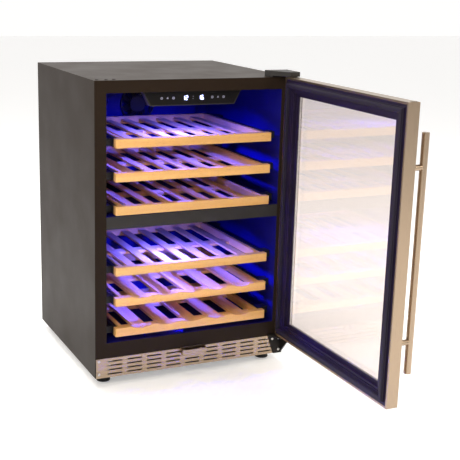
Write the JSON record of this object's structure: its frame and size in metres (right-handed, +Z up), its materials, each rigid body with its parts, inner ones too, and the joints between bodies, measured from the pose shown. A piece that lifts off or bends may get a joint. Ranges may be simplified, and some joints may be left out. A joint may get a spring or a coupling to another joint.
{
  "type": "wine cooler",
  "caption": "Dual-zone under-counter wine cooler with a glass door on the right hinge, a tube handle, a key lock, sliding wooden shelves and a slotted kick grille.",
  "frame": {"origin": "on the floor, under the centre of the cabinet's footprint", "axes": "+X to the right seen from the front, -Y out of the front, +Z up"},
  "size_m": [0.6455, 1.1655, 0.882],
  "materials": {
    "black_steel": "satin black powder coat",
    "zinc_steel": "zinc plated sheet",
    "foam": "rigid foam",
    "liner_plastic": "smooth black moulded liner",
    "black_plastic": "fine matt",
    "aluminium": "mill finish",
    "light_panel": "diffuser, lit blue",
    "gloss_black": "polished",
    "stainless": "brushed along its length",
    "screw_steel": "plated screws",
    "hinge_steel": "black paint",
    "pin_steel": "ground pin",
    "coil_steel": "black paint",
    "slide_steel": "black zinc",
    "door_plastic": "fine matt",
    "seal_rubber": "soft seal",
    "door_glass": "clear double pane",
    "plug_plastic": "push-in plug",
    "lock_chrome": "polished",
    "foot_plastic": "moulded foot",
    "beech": "light lacquered beech, grain along each piece"
  },
  "bodies": {
    "cabinet": {"cabinet_shell": "black_steel", "front_frame": "black_steel", "rear_panel": "black_steel", "base_plate": "zinc_steel", "insulation_foam": "foam", "upper_liner": "liner_plastic", "lower_liner": "liner_plastic", "zone_divider": "black_plastic", "duct_panels": "liner_plastic", "evaporator_coils": "aluminium", "fan_guards": "liner_plastic", "carbon_filter": "liner_plastic", "zone_lights": "light_panel", "control_housing": "black_plastic", "control_face": "gloss_black", "kick_grille": "stainless", "lock_keeper": "stainless", "cabinet_screws": "screw_steel", "upper_hinge_bracket": "hinge_steel", "upper_hinge_cover": "black_plastic", "lower_hinge_bracket": "hinge_steel", "hinge_pins": "pin_steel", "hole_plugs": "black_plastic", "compressor": "black_steel", "condenser_coil": "coil_steel", "condenser_fan_shroud": "black_plastic", "drip_tray": "black_plastic", "power_inlet": "black_plastic", "shelf_rails": "slide_steel"},
    "upper_fan": {"upper_fan_rotor": "black_plastic"},
    "lower_fan": {"lower_fan_rotor": "black_plastic"},
    "condenser_fan": {"condenser_fan_rotor": "black_plastic"},
    "foot_fl": {"foot_front_left": "foot_plastic"},
    "foot_fr": {"foot_front_right": "foot_plastic"},
    "foot_bl": {"foot_back_left": "foot_plastic"},
    "foot_br": {"foot_back_right": "foot_plastic"},
    "door": {"door_frame": "stainless", "door_inner_frame": "door_plastic", "door_gasket": "seal_rubber", "outer_glass": "door_glass", "inner_glass": "door_glass", "glass_spacer": "aluminium", "handle_bar": "stainless", "handle_posts": "stainless", "hinge_bushes": "door_plastic", "door_plugs": "plug_plastic"},
    "lock": {"lock_barrel": "lock_chrome"},
    "shelf_1": {"shelf_1_rack": "beech", "shelf_1_runners": "slide_steel"},
    "shelf_2": {"shelf_2_rack": "beech", "shelf_2_runners": "slide_steel"},
    "shelf_3": {"shelf_3_rack": "beech", "shelf_3_runners": "slide_steel"},
    "shelf_4": {"shelf_4_rack": "beech", "shelf_4_runners": "slide_steel"},
    "shelf_5": {"shelf_5_rack": "beech", "shelf_5_runners": "slide_steel"},
    "shelf_6": {"shelf_6_rack": "beech", "shelf_6_runners": "slide_steel"}
  },
  "joints": [
    {"name": "door_hinge", "type": "hinge", "parent": "cabinet", "child": "door", "pos_m": [0.285, -0.3065, 0.48], "axis": [0, 0, 1], "range_deg": [-90, 25]},
    {"name": "shelf_1_slide", "type": "slide", "parent": "cabinet", "child": "shelf_1", "axis": [0, -1, 0], "range_m": [0, 0.3]},
    {"name": "shelf_2_slide", "type": "slide", "parent": "cabinet", "child": "shelf_2", "axis": [0, -1, 0], "range_m": [0, 0.3]},
    {"name": "shelf_3_slide", "type": "slide", "parent": "cabinet", "child": "shelf_3", "axis": [0, -1, 0], "range_m": [0, 0.3]},
    {"name": "shelf_4_slide", "type": "slide", "parent": "cabinet", "child": "shelf_4", "axis": [0, -1, 0], "range_m": [0, 0.3]},
    {"name": "shelf_5_slide", "type": "slide", "parent": "cabinet", "child": "shelf_5", "axis": [0, -1, 0], "range_m": [0, 0.3]},
    {"name": "shelf_6_slide", "type": "slide", "parent": "cabinet", "child": "shelf_6", "axis": [0, -1, 0], "range_m": [0, 0.21]},
    {"name": "upper_fan_spin", "type": "hinge", "parent": "cabinet", "child": "upper_fan", "pos_m": [0, 0.195, 0.738], "axis": [0, -1, 0], "continuous": true},
    {"name": "lower_fan_spin", "type": "hinge", "parent": "cabinet", "child": "lower_fan", "pos_m": [0, 0.195, 0.365], "axis": [0, -1, 0], "continuous": true},
    {"name": "condenser_fan_spin", "type": "hinge", "parent": "cabinet", "child": "condenser_fan", "pos_m": [0.03, 0.1615, 0.098], "axis": [1, 0, 0], "continuous": true},
    {"name": "lock_turn", "type": "hinge", "parent": "door", "child": "lock", "pos_m": [0.29, -0.5915, 0.117], "axis": [-1, 0, 0], "range_deg": [0, 90]},
    {"name": "foot_fl_turn", "type": "hinge", "parent": "cabinet", "child": "foot_fl", "pos_m": [-0.2575, -0.225, 0], "axis": [0, 0, 1], "continuous": true},
    {"name": "foot_fr_turn", "type": "hinge", "parent": "cabinet", "child": "foot_fr", "pos_m": [0.2575, -0.225, 0], "axis": [0, 0, 1], "continuous": true},
    {"name": "foot_bl_turn", "type": "hinge", "parent": "cabinet", "child": "foot_bl", "pos_m": [-0.2575, 0.225, 0], "axis": [0, 0, 1], "continuous": true},
    {"name": "foot_br_turn", "type": "hinge", "parent": "cabinet", "child": "foot_br", "pos_m": [0.2575, 0.225, 0], "axis": [0, 0, 1], "continuous": true}
  ]
}
